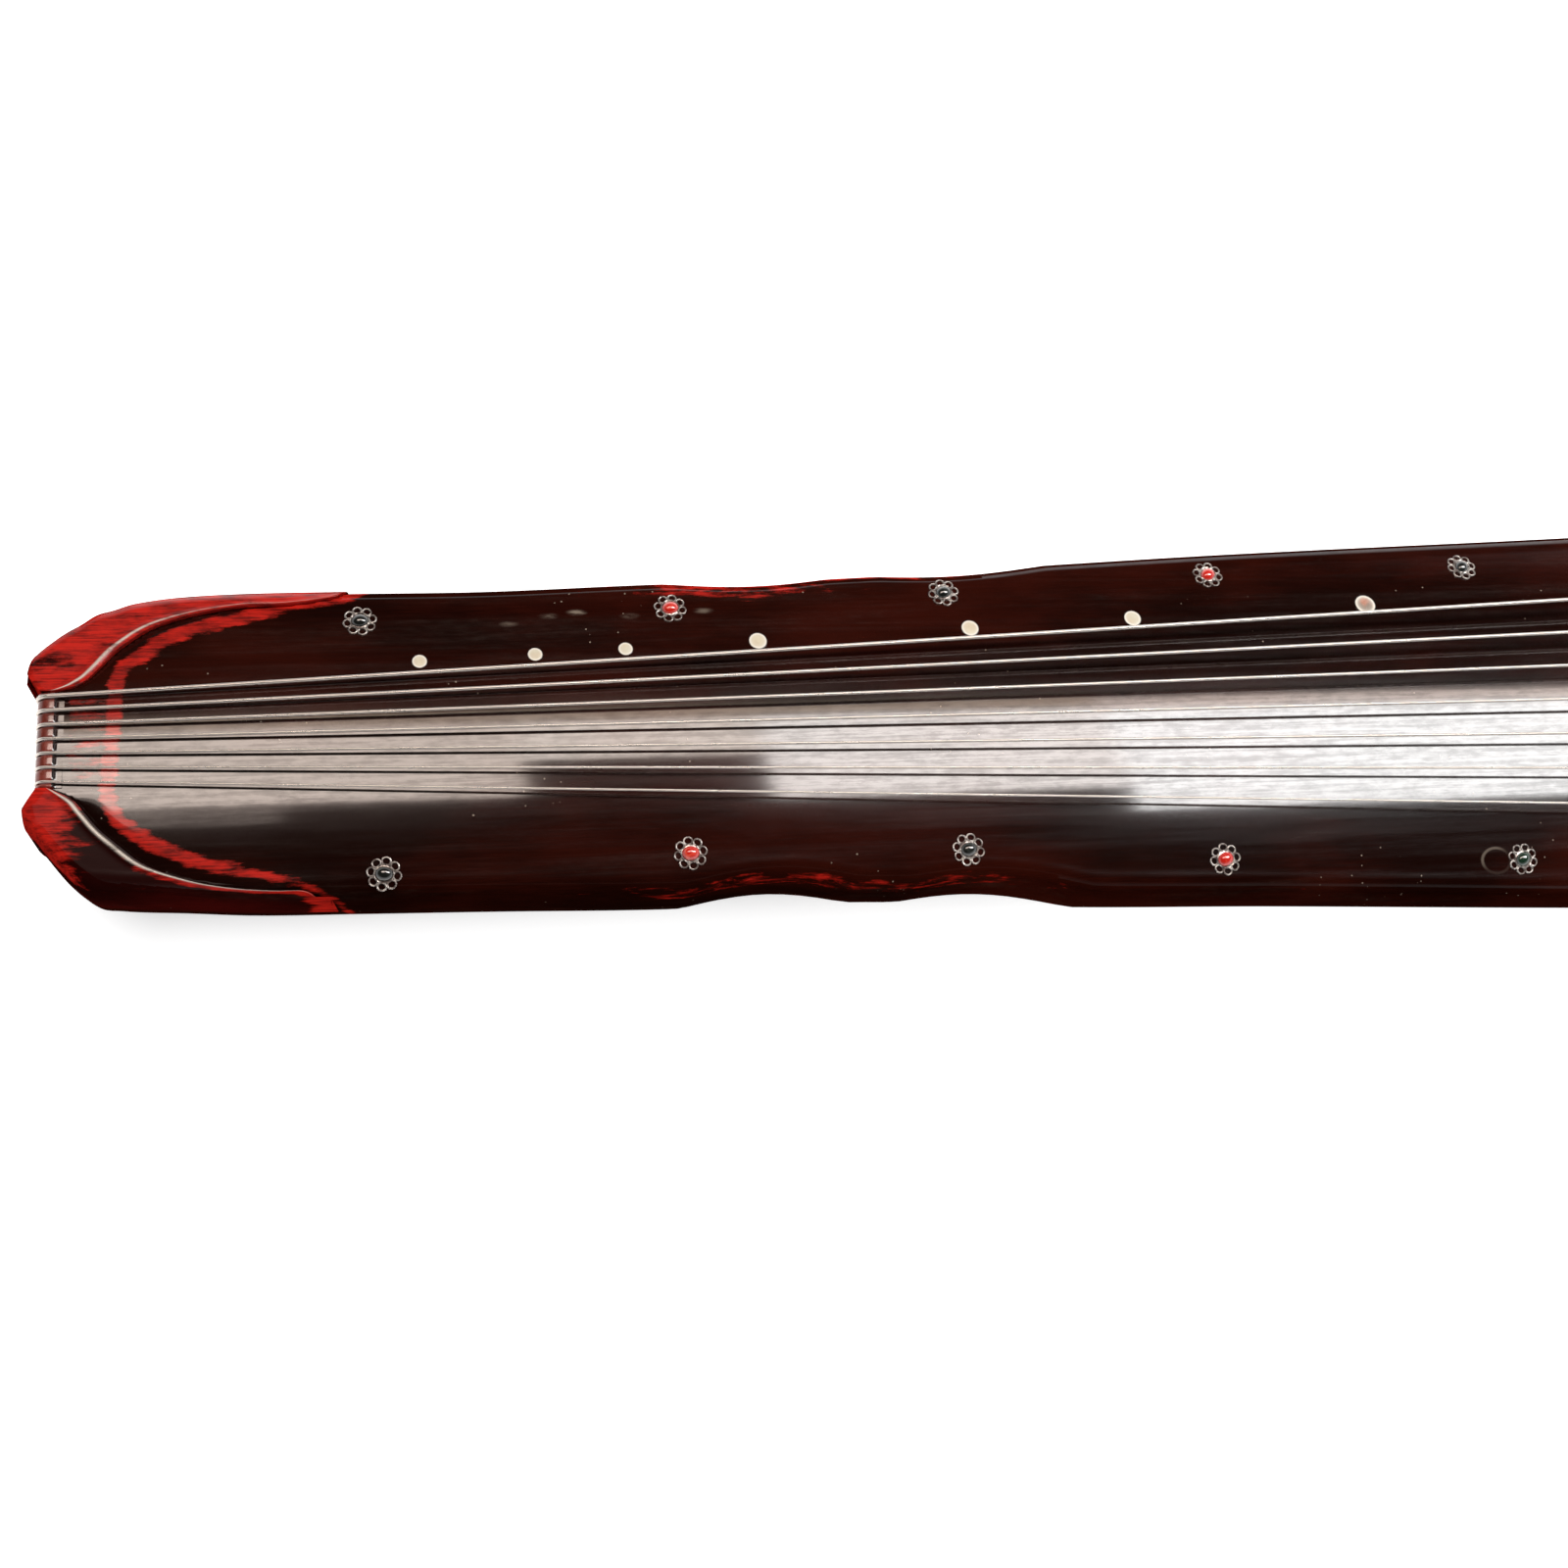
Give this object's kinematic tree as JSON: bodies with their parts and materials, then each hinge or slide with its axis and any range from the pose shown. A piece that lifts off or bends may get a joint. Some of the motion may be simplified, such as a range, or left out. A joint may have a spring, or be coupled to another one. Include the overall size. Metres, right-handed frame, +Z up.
{
  "type": "guqin",
  "caption": "Seven-string lacquered zither with an arched board, raised tail corners, pearl position markers, wire rosettes and turning pegs.",
  "frame": {"origin": "middle of the length and width, on the ground under the feet", "axes": "+X from the tail to the head, +Y away from the player, +Z up"},
  "size_m": [1.229, 0.1952, 0.0937],
  "materials": {
    "lacquer": "gloss dark brown-black lacquer over wood, red lacquer below worn edges",
    "red_lacquer": "gloss red lacquer with dark streaks",
    "hardwood": "polished dark rosewood",
    "inner_wood": "bare planed softwood",
    "pearl": "polished mother of pearl",
    "string": "smooth wound steel-cored string",
    "silk": "twisted silk cord"
  },
  "bodies": {
    "qin": {"top_board": "lacquer", "bottom_board": "lacquer", "heaven_post": "inner_wood", "earth_post": "inner_wood", "bridge": "hardwood", "string_hole_strip": "hardwood", "tail_nut": "hardwood", "tail_nut_rest": "hardwood", "peg_plate": "hardwood", "tail_corner_near": "red_lacquer", "peg_guard_near": "hardwood", "goose_foot_near": "hardwood", "foot_socket_near": "inner_wood", "tail_corner_far": "red_lacquer", "peg_guard_far": "hardwood", "goose_foot_far": "hardwood", "foot_socket_far": "inner_wood", "tuning_cord_1": "silk", "string_1": "string", "tuning_cord_2": "silk", "string_2": "string", "tuning_cord_3": "silk", "string_3": "string", "tuning_cord_4": "silk", "string_4": "string", "tuning_cord_5": "silk", "string_5": "string", "tuning_cord_6": "silk", "string_6": "string", "tuning_cord_7": "silk", "string_7": "string", "hui_1": "pearl", "hui_2": "pearl", "hui_3": "pearl", "hui_4": "pearl", "hui_5": "pearl", "hui_6": "pearl", "hui_7": "pearl", "hui_8": "pearl", "hui_9": "pearl", "hui_10": "pearl", "hui_11": "pearl", "hui_12": "pearl", "hui_13": "pearl"},
    "peg_1": {"peg_1": "hardwood"},
    "peg_2": {"peg_2": "hardwood"},
    "peg_3": {"peg_3": "hardwood"},
    "peg_4": {"peg_4": "hardwood"},
    "peg_5": {"peg_5": "hardwood"},
    "peg_6": {"peg_6": "hardwood"},
    "peg_7": {"peg_7": "hardwood"}
  },
  "joints": [
    {"name": "peg_1_turn", "type": "hinge", "parent": "qin", "child": "peg_1", "pos_m": [0.5295, 0.063, 0.02], "axis": [0, 0, 1], "continuous": true},
    {"name": "peg_2_turn", "type": "hinge", "parent": "qin", "child": "peg_2", "pos_m": [0.5295, 0.041, 0.02], "axis": [0, 0, 1], "continuous": true},
    {"name": "peg_3_turn", "type": "hinge", "parent": "qin", "child": "peg_3", "pos_m": [0.5295, 0.019, 0.02], "axis": [0, 0, 1], "continuous": true},
    {"name": "peg_4_turn", "type": "hinge", "parent": "qin", "child": "peg_4", "pos_m": [0.5295, -0.003, 0.02], "axis": [0, 0, 1], "continuous": true},
    {"name": "peg_5_turn", "type": "hinge", "parent": "qin", "child": "peg_5", "pos_m": [0.5295, -0.025, 0.02], "axis": [0, 0, 1], "continuous": true},
    {"name": "peg_6_turn", "type": "hinge", "parent": "qin", "child": "peg_6", "pos_m": [0.5295, -0.047, 0.02], "axis": [0, 0, 1], "continuous": true},
    {"name": "peg_7_turn", "type": "hinge", "parent": "qin", "child": "peg_7", "pos_m": [0.5295, -0.069, 0.02], "axis": [0, 0, 1], "continuous": true}
  ]
}
